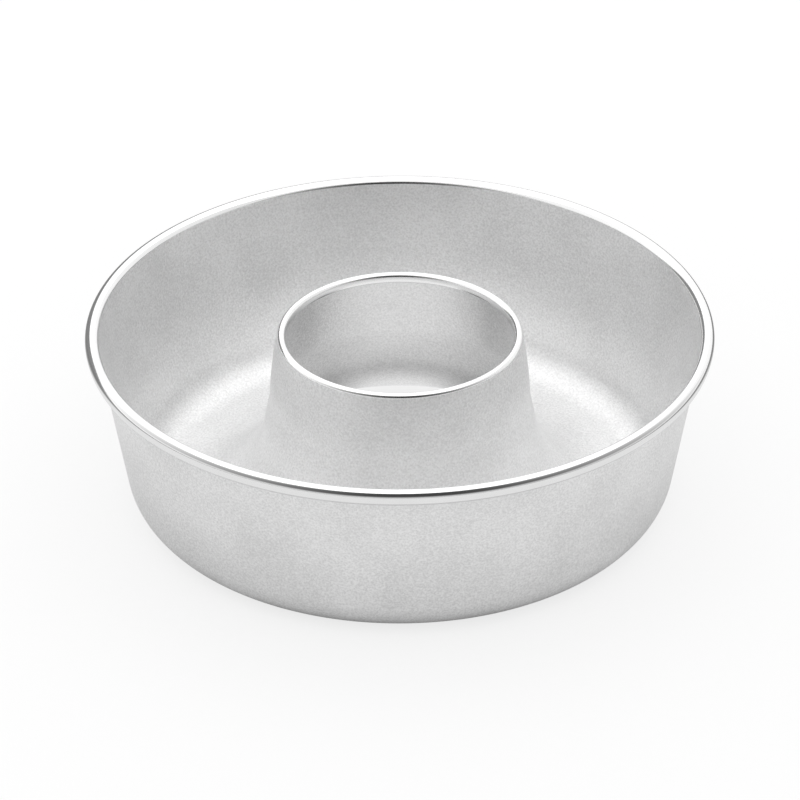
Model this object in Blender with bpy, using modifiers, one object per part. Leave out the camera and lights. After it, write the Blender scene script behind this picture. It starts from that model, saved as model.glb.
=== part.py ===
"""Savarin mould: a ring tin drawn from one round of aluminium sheet.

The sheet runs from a rim rolled outward over a steel wire, down a tapered
wall, round the corner, across the flat ring that it stands on and up a flared
tube, whose top is folded inward into a lip. Sizes are in metres, +Z is up, and
the origin is on the mould's axis, on the surface that it stands on.
"""

import math

import bpy
from mathutils import Vector

# Driving dimensions
RIM_OUTER_RADIUS = 0.120
MOULD_HEIGHT = 0.0732
SHEET_THICKNESS = 0.0009

RIM_WIRE_DIAMETER = 0.0029
ROLL_STRETCH = 0.0009
FIT_CLEARANCE = 0.0003
RIM_EDGE_GAP = 0.0003
WIRE_ENDS_GAP = 0.0012

WALL_TAPER = math.radians(9.6)
CORNER_OUTER_RADIUS = 0.0162
LEAST_FLOOR_WIDTH = 0.003

TUBE_TOP_RADIUS = 0.0471
TUBE_TOP_BELOW_RIM = 0.0033
TUBE_LEAN_AT_LIP = math.radians(10.6)
TUBE_LEAN_AT_KNEE = math.radians(3.2)
KNEE_HEIGHT = 0.0425
KNEE_RADIUS = 0.020
SKIRT_TAPER = math.radians(11.1)
FLARE_RADIUS = 0.032

LIP_FOLD_RADIUS = 0.00165
LIP_HEM_RADIUS = 0.0012
LIP_LEG_LENGTH = 0.0013

# How finely round shapes are divided
TURN_STEPS = 72
WIRE_BEVEL_RESOLUTION = 3
ROLL_ARC_STEP = math.radians(30.0)
HEM_ARC_STEP = math.radians(45.0)
BEND_ARC_STEP = math.radians(15.0)
BULGE_ARC_STEP = math.radians(4.0)
SHARP_EDGE_ANGLE = math.radians(50.0)

# Sizes that follow from the driving dimensions
HALF_SHEET = SHEET_THICKNESS / 2
ROLL_INNER_RADIUS = RIM_WIRE_DIAMETER / 2 + FIT_CLEARANCE
ROLL_OUTER_RADIUS = ROLL_INNER_RADIUS + SHEET_THICKNESS
ROLL_REACH = Vector((math.sin(WALL_TAPER), math.cos(WALL_TAPER))) * ROLL_STRETCH / 2
ROLL_CENTRE = Vector((RIM_OUTER_RADIUS - ROLL_OUTER_RADIUS,
                      MOULD_HEIGHT - ROLL_OUTER_RADIUS)) - ROLL_REACH

# Directions in the (radius, height) half plane, as angles from outward
OUTWARD = 0.0
UP = math.pi / 2
INWARD = math.pi
DOWN = 3 * math.pi / 2

# Angle round the axis at which the wire's ends meet
BACK = math.pi / 2

# Colours and roughness of the bare metals
ALUMINIUM = (0.74, 0.74, 0.745)
ALUMINIUM_ROUGHNESS = 0.42
STEEL = (0.55, 0.56, 0.58)
STEEL_ROUGHNESS = 0.35

COLLECTION_NAME = "savarin_mould"


def clear_scene():
    """Remove every object that the open file holds."""
    for old in list(bpy.data.objects):
        bpy.data.objects.remove(old, do_unlink=True)


def direction(heading):
    """Unit vector in the (radius, height) half plane at an angle."""
    return Vector((math.cos(heading), math.sin(heading)))


def arc(centre, radius, start, end, largest_step):
    """Points on an arc about a centre, both ends included."""
    steps = max(1, math.ceil(abs(end - start) / largest_step))
    return [centre + radius * direction(start + (end - start) * i / steps)
            for i in range(steps + 1)]


def rolled_rim():
    """Middle line of the rim, from its cut edge over the wire to the wall.

    The roll is an oval about the wire, taller than the wire by ROLL_STRETCH, and
    its long way follows the wall. It starts where its outer face is RIM_EDGE_GAP
    from the wall, and it leaves straight into the wall.
    """
    radius = ROLL_INNER_RADIUS + HALF_SHEET
    lower = ROLL_CENTRE - ROLL_REACH
    upper = ROLL_CENTRE + ROLL_REACH
    wall_side = INWARD - WALL_TAPER
    outer_side = OUTWARD - WALL_TAPER
    reach = (ROLL_INNER_RADIUS - RIM_EDGE_GAP) / ROLL_OUTER_RADIUS
    cut_edge = wall_side + math.acos(reach) - 2 * math.pi
    under = arc(lower, radius, cut_edge, outer_side, ROLL_ARC_STEP)
    widest = arc(upper, radius, outer_side, OUTWARD, ROLL_ARC_STEP)
    outer = arc(upper, radius, OUTWARD, UP, ROLL_ARC_STEP)
    inner = arc(upper, radius, UP, wall_side, ROLL_ARC_STEP)
    return under + widest + outer[1:] + inner[1:]


def tube_and_lip():
    """Middle line of the tube from the foot of its knee up over the lip.

    It is worked out from the lip downward, because the lip's radius and height
    are what the tube is made to. The tube bulges a little between the lip and
    the knee, where it turns out into the skirt.
    """
    fold_radius = LIP_FOLD_RADIUS - HALF_SHEET
    fold_centre = Vector((TUBE_TOP_RADIUS - LIP_FOLD_RADIUS,
                          MOULD_HEIGHT - TUBE_TOP_BELOW_RIM - LIP_FOLD_RADIUS))
    fold = arc(fold_centre, fold_radius, TUBE_LEAN_AT_LIP, INWARD, ROLL_ARC_STEP)

    hem_radius = LIP_HEM_RADIUS - HALF_SHEET
    hem_centre = Vector((fold[-1].x + hem_radius, fold[-1].y - LIP_LEG_LENGTH))
    hem = arc(hem_centre, hem_radius, INWARD, DOWN, HEM_ARC_STEP)

    drop = fold[0].y - KNEE_HEIGHT
    bulge_radius = drop / (math.sin(TUBE_LEAN_AT_LIP) - math.sin(TUBE_LEAN_AT_KNEE))
    bulge_centre = fold[0] - bulge_radius * direction(TUBE_LEAN_AT_LIP)
    bulge = arc(bulge_centre, bulge_radius, TUBE_LEAN_AT_KNEE, TUBE_LEAN_AT_LIP,
                BULGE_ARC_STEP)

    knee_radius = KNEE_RADIUS + HALF_SHEET
    knee_centre = bulge[0] + knee_radius * direction(TUBE_LEAN_AT_KNEE)
    knee = arc(knee_centre, knee_radius, INWARD + SKIRT_TAPER,
               INWARD + TUBE_LEAN_AT_KNEE, BEND_ARC_STEP)
    return knee + bulge[1:] + fold[1:] + hem


def channel_bottom(wall_top, skirt_top):
    """Middle line from the corner under the wall to the flare of the skirt.

    Both bends are tangent to the floor, and they give way where the channel is
    too narrow for them, so that a flat ring is always left to stand on.
    """
    floor = HALF_SHEET
    wall_foot = wall_top.x - (wall_top.y - floor) * math.tan(WALL_TAPER)
    skirt_foot = skirt_top.x + (skirt_top.y - floor) * math.tan(SKIRT_TAPER)
    room = wall_foot - skirt_foot - LEAST_FLOOR_WIDTH

    corner_reach = math.tan((math.pi / 2 - WALL_TAPER) / 2)
    flare_reach = math.tan((math.pi / 2 - SKIRT_TAPER) / 2)
    corner_radius = min(CORNER_OUTER_RADIUS - HALF_SHEET, room / 2 / corner_reach)
    flare_radius = min(FLARE_RADIUS + HALF_SHEET,
                       (room - corner_radius * corner_reach) / flare_reach)

    corner_centre = Vector((wall_foot - corner_radius * corner_reach,
                            floor + corner_radius))
    flare_centre = Vector((skirt_foot + flare_radius * flare_reach,
                           floor + flare_radius))
    corner = arc(corner_centre, corner_radius, OUTWARD - WALL_TAPER,
                 OUTWARD - math.pi / 2, BEND_ARC_STEP)
    flare = arc(flare_centre, flare_radius, DOWN, INWARD + SKIRT_TAPER,
                BEND_ARC_STEP)
    return corner + flare


def sheet_outline(middle):
    """Closed outline of the sheet: its outer face, then its inner face back.

    Each corner of the middle line is moved square to both of its runs, so the
    sheet keeps its thickness everywhere.
    """
    outer = []
    inner = []
    for i, point in enumerate(middle):
        before = (point - middle[i - 1]).normalized() if i else None
        after = (middle[i + 1] - point).normalized() if i + 1 < len(middle) else None
        before = before or after
        after = after or before
        left_of_before = Vector((-before.y, before.x))
        left_of_after = Vector((-after.y, after.x))
        mitre = (left_of_before + left_of_after).normalized()
        step = mitre * (HALF_SHEET / mitre.dot(left_of_after))
        outer.append(point + step)
        inner.append(point - step)
    return outer + inner[::-1]


def turned_mesh(name, outline):
    """Mesh made by turning a closed outline once round the Z axis."""
    profile = bpy.data.meshes.new(name + "_profile")
    count = len(outline)
    profile.from_pydata([(p.x, 0.0, p.y) for p in outline],
                        [(i, (i + 1) % count) for i in range(count)], [])
    blank = bpy.data.objects.new(name + "_blank", profile)
    bpy.context.scene.collection.objects.link(blank)
    screw = blank.modifiers.new("turn", "SCREW")
    screw.axis = "Z"
    screw.angle = 2 * math.pi
    screw.steps = TURN_STEPS
    screw.render_steps = TURN_STEPS
    evaluated = blank.evaluated_get(bpy.context.evaluated_depsgraph_get())
    mesh = bpy.data.meshes.new_from_object(evaluated)
    mesh.name = name
    mesh.shade_smooth()
    mesh.set_sharp_from_angle(angle=SHARP_EDGE_ANGLE)
    bpy.data.objects.remove(blank, do_unlink=True)
    bpy.data.meshes.remove(profile)
    return mesh


def metal(name, colour, roughness):
    """Principled material for a bare metal."""
    material = bpy.data.materials.new(name)
    material.use_nodes = True
    shader = material.node_tree.nodes["Principled BSDF"]
    shader.inputs["Base Color"].default_value = (*colour, 1.0)
    shader.inputs["Metallic"].default_value = 1.0
    shader.inputs["Roughness"].default_value = roughness
    material.diffuse_color = (*colour, 1.0)
    return material


def add_part(collection, parent, name, data, material, location=(0, 0, 0)):
    """Place one piece of the mould under the shared empty."""
    part = bpy.data.objects.new(name, data)
    data.materials.append(material)
    part.parent = parent
    part.location = location
    collection.objects.link(part)
    return part


def ring_pan_mesh():
    """The drawn sheet: rim, wall, corner, floor, tube and lip in one piece."""
    rim = rolled_rim()
    tube = tube_and_lip()
    middle = rim + channel_bottom(rim[-1], tube[0]) + tube
    return turned_mesh("ring_pan", sheet_outline(middle))


def rim_wire_curve():
    """The steel wire inside the rim, a ring whose two cut ends meet at +Y."""
    radius = ROLL_CENTRE.x
    half_gap = WIRE_ENDS_GAP / radius / 2
    start = BACK + half_gap
    sweep = 2 * (math.pi - half_gap)
    curve = bpy.data.curves.new("rim_wire", "CURVE")
    curve.dimensions = "3D"
    curve.bevel_depth = RIM_WIRE_DIAMETER / 2
    curve.bevel_resolution = WIRE_BEVEL_RESOLUTION
    curve.use_fill_caps = True
    spline = curve.splines.new("POLY")
    spline.points.add(TURN_STEPS)
    for i, point in enumerate(spline.points):
        angle = start + sweep * i / TURN_STEPS
        point.co = (radius * math.cos(angle), radius * math.sin(angle), 0.0, 1.0)
    return curve


def build():
    clear_scene()
    collection = bpy.data.collections.new(COLLECTION_NAME)
    bpy.context.scene.collection.children.link(collection)
    axis = bpy.data.objects.new("mould_axis", None)
    collection.objects.link(axis)

    aluminium = metal("etched_aluminium", ALUMINIUM, ALUMINIUM_ROUGHNESS)
    steel = metal("galvanised_wire", STEEL, STEEL_ROUGHNESS)
    add_part(collection, axis, "ring_pan", ring_pan_mesh(), aluminium)
    add_part(collection, axis, "rim_wire", rim_wire_curve(), steel,
             location=(0, 0, ROLL_CENTRE.y))


build()
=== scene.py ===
"""Savarin mould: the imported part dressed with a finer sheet, its finishes, and a plain studio."""

import math

import bpy
from mathutils import Matrix, Vector


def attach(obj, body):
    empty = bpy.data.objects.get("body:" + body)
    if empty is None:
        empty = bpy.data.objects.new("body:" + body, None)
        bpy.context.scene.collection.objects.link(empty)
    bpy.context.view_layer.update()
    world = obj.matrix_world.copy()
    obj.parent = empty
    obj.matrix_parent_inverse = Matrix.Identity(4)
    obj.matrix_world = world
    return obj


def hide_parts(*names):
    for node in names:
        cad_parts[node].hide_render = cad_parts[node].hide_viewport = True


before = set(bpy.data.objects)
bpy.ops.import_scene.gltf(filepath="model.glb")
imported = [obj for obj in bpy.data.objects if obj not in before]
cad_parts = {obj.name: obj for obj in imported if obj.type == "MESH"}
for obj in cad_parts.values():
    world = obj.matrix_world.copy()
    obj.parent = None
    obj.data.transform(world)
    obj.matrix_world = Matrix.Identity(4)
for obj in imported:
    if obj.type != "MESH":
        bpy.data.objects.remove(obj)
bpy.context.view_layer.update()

# Sizes of the drawn sheet in metres, as the solids have them
RIM_OUTER_RADIUS = 0.120
MOULD_HEIGHT = 0.0732
SHEET_THICKNESS = 0.0009
RIM_WIRE_DIAMETER = 0.0029
ROLL_STRETCH = 0.0009
FIT_CLEARANCE = 0.0003
RIM_EDGE_GAP = 0.0003
WALL_TAPER = math.radians(9.6)
CORNER_OUTER_RADIUS = 0.0162
TUBE_TOP_RADIUS = 0.0471
TUBE_TOP_BELOW_RIM = 0.0033
TUBE_LEAN_AT_LIP = math.radians(10.6)
TUBE_LEAN_AT_KNEE = math.radians(3.2)
KNEE_HEIGHT = 0.0425
KNEE_RADIUS = 0.020
SKIRT_TAPER = math.radians(11.1)
FLARE_RADIUS = 0.032
LIP_FOLD_RADIUS = 0.00165
LIP_HEM_RADIUS = 0.0012
LIP_LEG_LENGTH = 0.0013

# How many arc steps of the roll keep the wall's matte finish where it leaves the wall
MATTE_ROLL_STEPS = 1

# How finely the visible sheet is divided, and the crease that stays sharp
TURN_STEPS = 360
TIGHT_ARC_STEP = math.radians(7.5)
WIDE_ARC_STEP = math.radians(3.0)
KNEE_ARC_STEP = math.radians(1.0)
BULGE_ARC_STEP = math.radians(0.5)
SHARP_CREASE = math.radians(40.0)

# The camera turns about a point on the mould's axis and looks a little below it
CAMERA_ELEVATION = math.radians(30.599)
CAMERA_BELOW = math.radians(0.903)
CAMERA_ROLL = 0.0043
CAMERA_DISTANCE = 1.68
CAMERA_PIVOT_HEIGHT = 0.0703
FOCAL_LENGTH_PIXELS = 4399.0
PICTURE_PIXELS = 800
SENSOR_WIDTH_MM = 36.0

# The table, in metres, with tones in parts of plain white. The pools are painted light and shadow
# that only the metal mirrors; each has its middle, then the distances from there at which the tones
# stand.
TABLE_HALF_SIDE = 6.0
TABLE_BELOW_FOOT = 0.00005
TABLE_CAMERA_WHITE = 0.75
FOOT_RADIUS = 0.088
# Painted pools of light through the tube and at the back of the base, painted shadow at the foot,
# and the painted lit table in front
PAINTED_TUBE_LIGHT_POOL = ((0.0, -0.056, 0.0), ((0.080, 0.90), (0.104, 0.04)))
PAINTED_BACK_LIGHT_POOL = ((0.0, 0.076, 0.0), ((0.016, 0.95), (0.042, 0.04)))
SHADOW_AT_FOOT = ((0.0, 0.0, 0.0), ((0.096, 0.12), (0.104, 0.60), (0.145, 1.0)))
LIT_TABLE = ((0.0, -0.8, 0.0), ((0.88, 0.82), (1.00, 0.25)))

# The softbox overhead and the pale room, brighter behind and at the left
SOFTBOX_GLOW = 1.45
SOFTBOX_HALF_WIDTH = 0.90
SOFTBOX_HEIGHT = 1.2
SOFTBOX_FRONT = -0.60
SOFTBOX_BACK = 2.2
ROOM_LIGHT = 0.99
ROOM_SWING = (-0.10, 0.14, 0.0)

# The black cards, in metres: how much light they give back, how far their tops lean
# out for each metre of height, and where each one stands and thins out
CARD_GLOW = 0.03
CARD_LEAN = 0.22
CARD_STEPS = 48
CARD_AT_CAMERA = {"radius": 0.145, "middle": math.radians(274), "solid_to": math.radians(4),
                  "gone_at": math.radians(105), "bottom": 0.066, "solid_from": 0.088,
                  "top": 0.34, "cover": 0.97}
CURTAIN_BEHIND_LEFT = {"radius": 2.0, "middle": math.radians(124), "solid_to": math.radians(20),
                       "gone_at": math.radians(46), "bottom": 0.0, "solid_from": 0.01,
                       "top": 1.15, "cover": 0.80}

# What follows from the sizes above
HALF_SHEET = SHEET_THICKNESS / 2
ROLL_INNER_RADIUS = RIM_WIRE_DIAMETER / 2 + FIT_CLEARANCE
ROLL_OUTER_RADIUS = ROLL_INNER_RADIUS + SHEET_THICKNESS
ROLL_REACH = Vector((math.sin(WALL_TAPER), math.cos(WALL_TAPER))) * ROLL_STRETCH / 2
ROLL_CENTRE = Vector((RIM_OUTER_RADIUS - ROLL_OUTER_RADIUS,
                      MOULD_HEIGHT - ROLL_OUTER_RADIUS)) - ROLL_REACH

# Headings in the half plane of radius and height
OUTWARD = 0.0
INWARD = math.pi
DOWN = 3 * math.pi / 2

MM = 0.001


def linear(hex_colour):
    """An sRGB hex colour as linear red, green, blue and alpha."""
    parts = [int(hex_colour[i:i + 2], 16) / 255 for i in (1, 3, 5)]
    return tuple(c / 12.92 if c <= 0.04045 else ((c + 0.055) / 1.055) ** 2.4
                 for c in parts) + (1.0,)


def add_node(tree, kind, settings=None, values=None, links=None):
    """Add a shader node: its own settings, its socket values, its incoming links."""
    node = tree.nodes.new(kind)
    for name, value in (settings or {}).items():
        setattr(node, name, value)
    for socket, value in (values or {}).items():
        node.inputs[socket].default_value = value
    for socket, source in (links or {}).items():
        tree.links.new(source, node.inputs[socket])
    return node


def new_material(name):
    """An empty material: its node tree, its shader and its object coordinates."""
    material = bpy.data.materials.new(name)
    material.use_nodes = True
    tree = material.node_tree
    shader = tree.nodes["Principled BSDF"]
    place = add_node(tree, "ShaderNodeTexCoord").outputs["Object"]
    return material, tree, shader, place


def etched_aluminium():
    """Drawn aluminium sheet, etched in caustic after forming.

    The etch leaves an even silvery matte with a very fine pitted grain, so
    reflections spread into soft broad shades with no image in them.
    """
    material, tree, shader, place = new_material("etched_aluminium")
    shader.inputs["Metallic"].default_value = 1.0
    # The pits are about 0.1 mm across. They are drawn 0.8 mm across, because
    # finer ones fall between the pixels of the picture.
    grit = add_node(tree, "ShaderNodeTexNoise", values={
        "Scale": 1 / (0.8 * MM), "Detail": 2.0, "Roughness": 0.6}, links={"Vector": place})
    # Clouds about 25 mm across, where the etch bit a little more or less
    cloud = add_node(tree, "ShaderNodeTexNoise", values={
        "Scale": 1 / (25 * MM), "Detail": 2.0, "Roughness": 0.5}, links={"Vector": place})
    tone = add_node(tree, "ShaderNodeMix", {"data_type": "FLOAT"},
                    {"A": 0.0, "B": 1.0, "Factor": 0.25},
                    {"A": grit.outputs["Fac"], "B": cloud.outputs["Fac"]})
    # Noise keeps near 0.5, so the two tones stand close to either side of it
    colour = add_node(tree, "ShaderNodeValToRGB", links={"Fac": tone.outputs["Result"]})
    colour.color_ramp.elements[0].position = 0.36
    colour.color_ramp.elements[0].color = linear("#E5E5E5")
    colour.color_ramp.elements[1].position = 0.64
    colour.color_ramp.elements[1].color = linear("#FFFFFF")
    tree.links.new(colour.outputs["Color"], shader.inputs["Base Color"])
    rough = add_node(tree, "ShaderNodeMapRange", values={
        "From Min": 0.3, "From Max": 0.7, "To Min": 0.40, "To Max": 0.50},
        links={"Value": tone.outputs["Result"]})
    tree.links.new(rough.outputs["Result"], shader.inputs["Roughness"])
    bump = add_node(tree, "ShaderNodeBump", values={"Strength": 1.0, "Distance": 0.12 * MM},
                    links={"Height": grit.outputs["Fac"]})
    tree.links.new(bump.outputs["Normal"], shader.inputs["Normal"])
    return material


def burnished_aluminium():
    """The same sheet where the rolling and folding tools have rubbed it bright.

    It is close to a mirror, drawn out along the ring by faint tool lines, so the
    rim and the lip show the studio as thin white and black bands.
    """
    material, tree, shader, place = new_material("burnished_aluminium")
    shader.inputs["Metallic"].default_value = 1.0
    axes = add_node(tree, "ShaderNodeSeparateXYZ", links={"Vector": place})
    flat = add_node(tree, "ShaderNodeCombineXYZ",
                    links={"X": axes.outputs["X"], "Y": axes.outputs["Y"]})
    radius = add_node(tree, "ShaderNodeVectorMath", {"operation": "LENGTH"},
                      links={"Vector": flat.outputs["Vector"]})
    ring = add_node(tree, "ShaderNodeCombineXYZ",
                    links={"X": radius.outputs["Value"], "Y": axes.outputs["Z"]})
    # Tool lines about 0.25 mm apart, which run round the mould. They are too fine
    # to show one by one, and only dull the mirror a little.
    lines = add_node(tree, "ShaderNodeTexNoise", values={
        "Scale": 1 / (0.25 * MM), "Detail": 2.0}, links={"Vector": ring.outputs["Vector"]})
    # Stretches about 9 mm long where the tool pressed harder or lighter
    patch = add_node(tree, "ShaderNodeTexNoise", values={
        "Scale": 1 / (9 * MM), "Detail": 2.0}, links={"Vector": place})
    tone = add_node(tree, "ShaderNodeMix", {"data_type": "FLOAT"}, {"Factor": 0.5},
                    {"A": lines.outputs["Fac"], "B": patch.outputs["Fac"]})
    rough = add_node(tree, "ShaderNodeMapRange", values={
        "From Min": 0.3, "From Max": 0.7, "To Min": 0.06, "To Max": 0.12},
        links={"Value": tone.outputs["Result"]})
    tree.links.new(rough.outputs["Result"], shader.inputs["Roughness"])
    colour = add_node(tree, "ShaderNodeValToRGB", links={"Fac": tone.outputs["Result"]})
    colour.color_ramp.elements[0].position = 0.3
    colour.color_ramp.elements[0].color = linear("#F2F2F2")
    colour.color_ramp.elements[1].position = 0.7
    colour.color_ramp.elements[1].color = linear("#F8F8F8")
    tree.links.new(colour.outputs["Color"], shader.inputs["Base Color"])
    bump = add_node(tree, "ShaderNodeBump", values={"Strength": 0.1, "Distance": 0.01 * MM},
                    links={"Height": lines.outputs["Fac"]})
    tree.links.new(bump.outputs["Normal"], shader.inputs["Normal"])
    return material


def galvanised_wire():
    """Galvanised steel wire: a dull blue-grey zinc skin with soft spangles."""
    material, tree, shader, place = new_material("galvanised_wire")
    shader.inputs["Metallic"].default_value = 1.0
    # Zinc spangles about 2 mm across
    spangle = add_node(tree, "ShaderNodeTexVoronoi", values={"Scale": 1 / (2 * MM)},
                       links={"Vector": place})
    colour = add_node(tree, "ShaderNodeValToRGB", links={"Fac": spangle.outputs["Distance"]})
    colour.color_ramp.elements[0].color = linear("#B4B9BE")
    colour.color_ramp.elements[1].color = linear("#9BA1A7")
    tree.links.new(colour.outputs["Color"], shader.inputs["Base Color"])
    rough = add_node(tree, "ShaderNodeMapRange", values={"To Min": 0.38, "To Max": 0.55},
                     links={"Value": spangle.outputs["Distance"]})
    tree.links.new(rough.outputs["Result"], shader.inputs["Roughness"])
    return material


def direction(heading):
    """Unit vector in the (radius, height) half plane at an angle."""
    return Vector((math.cos(heading), math.sin(heading)))


def arc(centre, radius, start, end, largest_step):
    """Points on an arc about a centre, both ends included."""
    steps = max(1, math.ceil(abs(end - start) / largest_step))
    return [centre + radius * direction(start + (end - start) * i / steps)
            for i in range(steps + 1)]


def rim_line():
    """Middle line of the oval roll, from its cut edge over the wire to the wall."""
    radius = ROLL_INNER_RADIUS + HALF_SHEET
    wall_side = INWARD - WALL_TAPER
    outer_side = OUTWARD - WALL_TAPER
    reach = (ROLL_INNER_RADIUS - RIM_EDGE_GAP) / ROLL_OUTER_RADIUS
    cut_edge = wall_side + math.acos(reach) - 2 * math.pi
    under = arc(ROLL_CENTRE - ROLL_REACH, radius, cut_edge, outer_side, TIGHT_ARC_STEP)
    over = arc(ROLL_CENTRE + ROLL_REACH, radius, outer_side, wall_side, TIGHT_ARC_STEP)
    return under + over


def tube_line():
    """Middle line from the foot of the tube's knee up over the lip to its hem."""
    fold_radius = LIP_FOLD_RADIUS - HALF_SHEET
    fold_centre = Vector((TUBE_TOP_RADIUS - LIP_FOLD_RADIUS,
                          MOULD_HEIGHT - TUBE_TOP_BELOW_RIM - LIP_FOLD_RADIUS))
    fold = arc(fold_centre, fold_radius, TUBE_LEAN_AT_LIP, INWARD, TIGHT_ARC_STEP)
    hem_radius = LIP_HEM_RADIUS - HALF_SHEET
    hem_centre = Vector((fold[-1].x + hem_radius, fold[-1].y - LIP_LEG_LENGTH))
    hem = arc(hem_centre, hem_radius, INWARD, DOWN, TIGHT_ARC_STEP)
    drop = fold[0].y - KNEE_HEIGHT
    bulge_radius = drop / (math.sin(TUBE_LEAN_AT_LIP) - math.sin(TUBE_LEAN_AT_KNEE))
    bulge_centre = fold[0] - bulge_radius * direction(TUBE_LEAN_AT_LIP)
    bulge = arc(bulge_centre, bulge_radius, TUBE_LEAN_AT_KNEE, TUBE_LEAN_AT_LIP,
                BULGE_ARC_STEP)
    knee_radius = KNEE_RADIUS + HALF_SHEET
    knee_centre = bulge[0] + knee_radius * direction(TUBE_LEAN_AT_KNEE)
    knee = arc(knee_centre, knee_radius, INWARD + SKIRT_TAPER,
               INWARD + TUBE_LEAN_AT_KNEE, KNEE_ARC_STEP)
    return knee, bulge[1:], fold[1:] + hem


def channel_line(wall_top, skirt_top):
    """Middle line of the corner under the wall and of the flare of the skirt."""
    wall_foot = wall_top.x - (wall_top.y - HALF_SHEET) * math.tan(WALL_TAPER)
    skirt_foot = skirt_top.x + (skirt_top.y - HALF_SHEET) * math.tan(SKIRT_TAPER)
    corner_radius = CORNER_OUTER_RADIUS - HALF_SHEET
    flare_radius = FLARE_RADIUS + HALF_SHEET
    corner_centre = Vector((
        wall_foot - corner_radius * math.tan((math.pi / 2 - WALL_TAPER) / 2),
        HALF_SHEET + corner_radius))
    flare_centre = Vector((
        skirt_foot + flare_radius * math.tan((math.pi / 2 - SKIRT_TAPER) / 2),
        HALF_SHEET + flare_radius))
    corner = arc(corner_centre, corner_radius, OUTWARD - WALL_TAPER,
                 OUTWARD - math.pi / 2, WIDE_ARC_STEP)
    flare = arc(flare_centre, flare_radius, DOWN, INWARD + SKIRT_TAPER, WIDE_ARC_STEP)
    return corner + flare


def two_faces(middle):
    """The sheet's outer and inner faces, half a thickness to each side."""
    outer, inner = [], []
    for i, point in enumerate(middle):
        before = (point - middle[i - 1]).normalized() if i else None
        after = (middle[i + 1] - point).normalized() if i + 1 < len(middle) else None
        before, after = before or after, after or before
        mitre = (Vector((-before.y, before.x)) + Vector((-after.y, after.x))).normalized()
        outer.append(point + mitre * HALF_SHEET)
        inner.append(point - mitre * HALF_SHEET)
    return outer, inner


def ring_pan_sheet(matte, bright):
    """The drawn sheet in one piece, turned finely about the axis."""
    rim = rim_line()
    knee, bulge, lip = tube_line()
    matte_run = channel_line(rim[-1], knee[0]) + knee + bulge
    middle = rim + matte_run + lip
    first_matte = len(rim) - 1 - MATTE_ROLL_STEPS
    first_lip = len(rim) + len(matte_run) - 1
    outer, inner = two_faces(middle)
    # The outline runs along the outer face and comes back along the inner one
    outline = outer + inner[::-1]
    count, last = len(outline), len(middle) - 1

    mesh = bpy.data.meshes.new("ring_pan_sheet")
    points = []
    for turn in range(TURN_STEPS):
        angle = 2 * math.pi * turn / TURN_STEPS
        across, along = math.cos(angle), math.sin(angle)
        points += [(p.x * across, p.x * along, p.y) for p in outline]
    faces, shiny = [], []
    for turn in range(TURN_STEPS):
        here, there = turn * count, (turn + 1) % TURN_STEPS * count
        for i in range(count):
            j = (i + 1) % count
            faces.append((here + i, here + j, there + j, there + i))
            # The stretch of the middle line that this face lies beside
            run = i if i <= last else count - 1 - j
            shiny.append(run < first_matte or run >= first_lip)
    mesh.from_pydata(points, [], faces)
    mesh.materials.append(matte)
    mesh.materials.append(bright)
    mesh.polygons.foreach_set("material_index", [int(s) for s in shiny])
    mesh.shade_smooth()
    mesh.set_sharp_from_angle(angle=SHARP_CREASE)
    sheet = bpy.data.objects.new("ring_pan_sheet", mesh)
    bpy.context.scene.collection.objects.link(sheet)
    return sheet


def plain_mesh(name, points, faces, material):
    """A stage piece from its points and faces."""
    mesh = bpy.data.meshes.new(name)
    mesh.from_pydata(points, [], faces)
    mesh.materials.append(material)
    piece = bpy.data.objects.new(name, mesh)
    bpy.context.scene.collection.objects.link(piece)
    return piece


def pool(tree, place, tones_about):
    """Painted light and shade: grey tones at distances from a middle, with even blends between
    them.
    """
    middle, tones = tones_about
    reach = add_node(tree, "ShaderNodeVectorMath", {"operation": "DISTANCE"}, {1: middle},
                     {0: place})
    ramp = add_node(tree, "ShaderNodeValToRGB", links={"Fac": reach.outputs["Value"]})
    stops = ramp.color_ramp.elements
    for i, (radius, level) in enumerate(tones):
        stop = stops[i] if i < 2 else stops.new(radius)
        stop.position = radius
        stop.color = (level, level, level, 1.0)
    return ramp.outputs["Color"]


def painted_table_glow(tree, place):
    """The table as the metal mirrors it, a glow of painted light and painted shadow: lit only
    round the mould and in front, and painted dark at the foot.

    Painted light as if fallen through the tube lies on it as a pool, slid towards the front,
    with a smaller pool at the back of the base.
    """
    in_tube = add_node(tree, "ShaderNodeMath", {"operation": "MAXIMUM"}, None, {
        0: pool(tree, place, PAINTED_TUBE_LIGHT_POOL), 1: pool(tree, place, PAINTED_BACK_LIGHT_POOL)})
    around = add_node(tree, "ShaderNodeMath", {"operation": "MULTIPLY"}, None, {
        0: pool(tree, place, SHADOW_AT_FOOT), 1: pool(tree, place, LIT_TABLE)})
    reach = add_node(tree, "ShaderNodeVectorMath", {"operation": "LENGTH"},
                     links={"Vector": place})
    past_foot = add_node(tree, "ShaderNodeMath", {"operation": "GREATER_THAN"},
                         {1: FOOT_RADIUS}, {0: reach.outputs["Value"]})
    level = add_node(tree, "ShaderNodeMix", {"data_type": "FLOAT"}, None, {
        "Factor": past_foot.outputs[0], "A": in_tube.outputs[0], "B": around.outputs[0]})
    return add_node(tree, "ShaderNodeEmission", values={"Color": linear("#FFFFFF")},
                    links={"Strength": level.outputs["Result"]})


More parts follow.
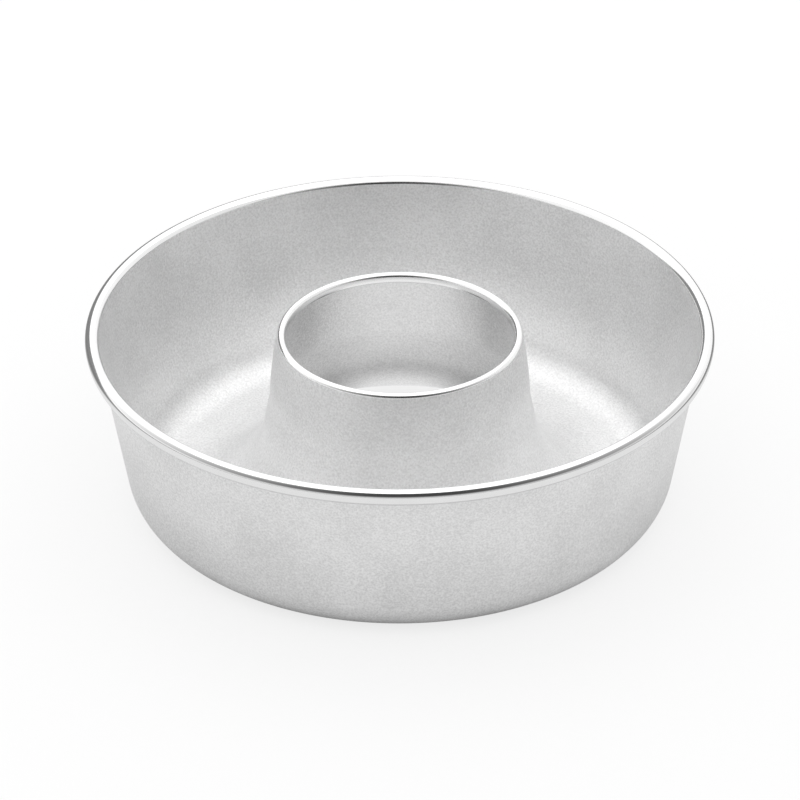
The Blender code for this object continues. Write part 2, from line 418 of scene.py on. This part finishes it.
def white_table():
    """White table top. The camera sees it nearly white, with a part of the shadow."""
    material, tree, shader, place = new_material("white_table")
    # A faint mottle about 3 mm across
    fibre = add_node(tree, "ShaderNodeTexNoise", values={"Scale": 1 / (3 * MM), "Detail": 2.0},
                     links={"Vector": place})
    shade = add_node(tree, "ShaderNodeValToRGB", links={"Fac": fibre.outputs["Fac"]})
    shade.color_ramp.elements[0].color = linear("#EDEDED")
    shade.color_ramp.elements[1].color = linear("#F0F0F0")
    tree.links.new(shade.outputs["Color"], shader.inputs["Base Color"])
    shader.inputs["Roughness"].default_value = 0.9
    shader.inputs["Specular IOR Level"].default_value = 0.0
    white = add_node(tree, "ShaderNodeEmission",
                     values={"Color": linear("#FFFFFF"), "Strength": 1.0})
    path = add_node(tree, "ShaderNodeLightPath")
    seen = add_node(tree, "ShaderNodeMath", {"operation": "MULTIPLY"},
                    {1: TABLE_CAMERA_WHITE}, {0: path.outputs["Is Camera Ray"]})
    to_camera = add_node(tree, "ShaderNodeMixShader", None, None, {
        0: seen.outputs[0], 1: shader.outputs[0], 2: white.outputs[0]})
    # What metal and glass see on the table: a glow of painted light and painted shadow
    painted_reflection = painted_table_glow(tree, place)
    off_metal = add_node(tree, "ShaderNodeMath", {"operation": "ADD", "use_clamp": True}, None,
                         {0: path.outputs["Is Glossy Ray"],
                          1: path.outputs["Is Transmission Ray"]})
    mix = add_node(tree, "ShaderNodeMixShader", None, None, {
        0: off_metal.outputs[0], 1: to_camera.outputs[0], 2: painted_reflection.outputs[0]})
    tree.links.new(mix.outputs[0], tree.nodes["Material Output"].inputs["Surface"])
    half = TABLE_HALF_SIDE
    table = plain_mesh("table_top", [(-half, -half, 0), (half, -half, 0), (half, half, 0),
                                     (-half, half, 0)], [(0, 1, 2, 3)], material)
    table.location.z = -TABLE_BELOW_FOOT


def glow_material(name, strength):
    """A plain white glow of that strength."""
    material = bpy.data.materials.new(name)
    material.use_nodes = True
    tree = material.node_tree
    tree.nodes.remove(tree.nodes["Principled BSDF"])
    glow = add_node(tree, "ShaderNodeEmission",
                    values={"Color": linear("#FFFFFF"), "Strength": strength})
    tree.links.new(glow.outputs[0], tree.nodes["Material Output"].inputs["Surface"])
    return material, tree, glow


def softbox():
    """The large soft light overhead, reaching further back than forward."""
    material, _, _ = glow_material("softbox_cloth", SOFTBOX_GLOW)
    x, front, back, height = SOFTBOX_HALF_WIDTH, SOFTBOX_FRONT, SOFTBOX_BACK, SOFTBOX_HEIGHT
    box = plain_mesh("softbox", [(-x, front, height), (-x, back, height), (x, back, height),
                                 (x, front, height)], [(0, 1, 2, 3)], material)
    box.visible_camera = False


def black_card(name, radius, middle, solid_to, gone_at, bottom, solid_from, top, cover):
    """A curved black card round the mould that only the metal mirrors.

    Its middle stands at an azimuth. It covers to one angle aside of that and thins
    out to another, where its top edge has come down too. It also thins out below.
    """
    material, tree, glow = glow_material(name, CARD_GLOW)
    place = add_node(tree, "ShaderNodeTexCoord").outputs["Object"]
    axes = add_node(tree, "ShaderNodeSeparateXYZ", links={"Vector": place})
    turn = add_node(tree, "ShaderNodeMath", {"operation": "ARCTAN2"}, None,
                    {0: axes.outputs["Y"], 1: axes.outputs["X"]})
    aside = add_node(tree, "ShaderNodeMath", {"operation": "ABSOLUTE"}, None,
                     {0: turn.outputs[0]})
    across = add_node(tree, "ShaderNodeMapRange", {"interpolation_type": "SMOOTHSTEP"},
                      {"From Min": solid_to, "From Max": gone_at, "To Min": cover,
                       "To Max": 0.0}, {"Value": aside.outputs[0]})
    up = add_node(tree, "ShaderNodeMapRange", {"interpolation_type": "SMOOTHSTEP"},
                  {"From Min": bottom, "From Max": solid_from},
                  {"Value": axes.outputs["Z"]})
    solid = add_node(tree, "ShaderNodeMath", {"operation": "MULTIPLY"}, None,
                     {0: across.outputs["Result"], 1: up.outputs["Result"]})
    clear = add_node(tree, "ShaderNodeBsdfTransparent")
    mix = add_node(tree, "ShaderNodeMixShader", None, None, {
        0: solid.outputs[0], 1: clear.outputs[0], 2: glow.outputs[0]})
    tree.links.new(mix.outputs[0], tree.nodes["Material Output"].inputs["Surface"])
    points, faces = [], []
    for i in range(CARD_STEPS + 1):
        turned = -gone_at + 2 * gone_at * i / CARD_STEPS
        x, y = math.cos(turned), math.sin(turned)
        edge = bottom + (top - bottom) * math.cos(turned / gone_at * math.pi / 2) ** 2
        out = radius + CARD_LEAN * (edge - bottom)
        points += [(radius * x, radius * y, bottom), (out * x, out * y, edge)]
    for i in range(CARD_STEPS):
        faces.append((2 * i, 2 * i + 2, 2 * i + 3, 2 * i + 1))
    card = plain_mesh(name, points, faces, material)
    card.rotation_euler.z = middle
    card.visible_camera = card.visible_diffuse = card.visible_shadow = False
    card.visible_transmission = False


def studio():
    """Plain soft light: a pale room, a softbox overhead, a white table, black cards."""
    world = bpy.data.worlds.new("studio")
    bpy.context.scene.world = world
    world.use_nodes = True
    tree = world.node_tree
    room = tree.nodes["Background"]
    room.inputs["Color"].default_value = linear("#FFFFFF")
    heading = add_node(tree, "ShaderNodeTexCoord").outputs["Generated"]
    swing = add_node(tree, "ShaderNodeVectorMath", {"operation": "DOT_PRODUCT"},
                     {1: ROOM_SWING}, {0: heading})
    tone = add_node(tree, "ShaderNodeMath", {"operation": "ADD"}, {1: ROOM_LIGHT},
                    {0: swing.outputs["Value"]})
    tree.links.new(tone.outputs[0], room.inputs["Strength"])
    white = add_node(tree, "ShaderNodeBackground",
                     values={"Color": linear("#FFFFFF"), "Strength": 1.0})
    path = add_node(tree, "ShaderNodeLightPath")
    mix = add_node(tree, "ShaderNodeMixShader", None, None, {
        0: path.outputs["Is Camera Ray"], 1: room.outputs[0], 2: white.outputs[0]})
    tree.links.new(mix.outputs[0], tree.nodes["World Output"].inputs["Surface"])
    white_table()
    softbox()
    black_card("card_at_camera", **CARD_AT_CAMERA)
    black_card("curtain_behind_left", **CURTAIN_BEHIND_LEFT)


def photo_camera():
    """The camera at the photograph's place, fitted to the rim, lip and outline."""
    data = bpy.data.cameras.new("photo_camera")
    data.sensor_width = SENSOR_WIDTH_MM
    data.lens = FOCAL_LENGTH_PIXELS * SENSOR_WIDTH_MM / PICTURE_PIXELS
    data.clip_start, data.clip_end = 0.05, 50.0
    camera = bpy.data.objects.new("photo_camera", data)
    bpy.context.scene.collection.objects.link(camera)
    out = CAMERA_DISTANCE * math.cos(CAMERA_ELEVATION)
    height = CAMERA_PIVOT_HEIGHT + CAMERA_DISTANCE * math.sin(CAMERA_ELEVATION)
    aim = Matrix.Rotation(math.pi / 2 - CAMERA_ELEVATION - CAMERA_BELOW, 4, "X")
    roll = Matrix.Rotation(-CAMERA_ROLL, 4, "Z")
    camera.matrix_world = Matrix.Translation((0.0, -out, height)) @ aim @ roll
    bpy.context.scene.camera = camera


sheet = ring_pan_sheet(etched_aluminium(), burnished_aluminium())
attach(sheet, "root")
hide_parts("ring_pan")

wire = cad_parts["rim_wire"]
wire.material_slots[0].material = galvanised_wire()

photo_camera()
studio()
bpy.context.scene.view_settings.view_transform = "Standard"
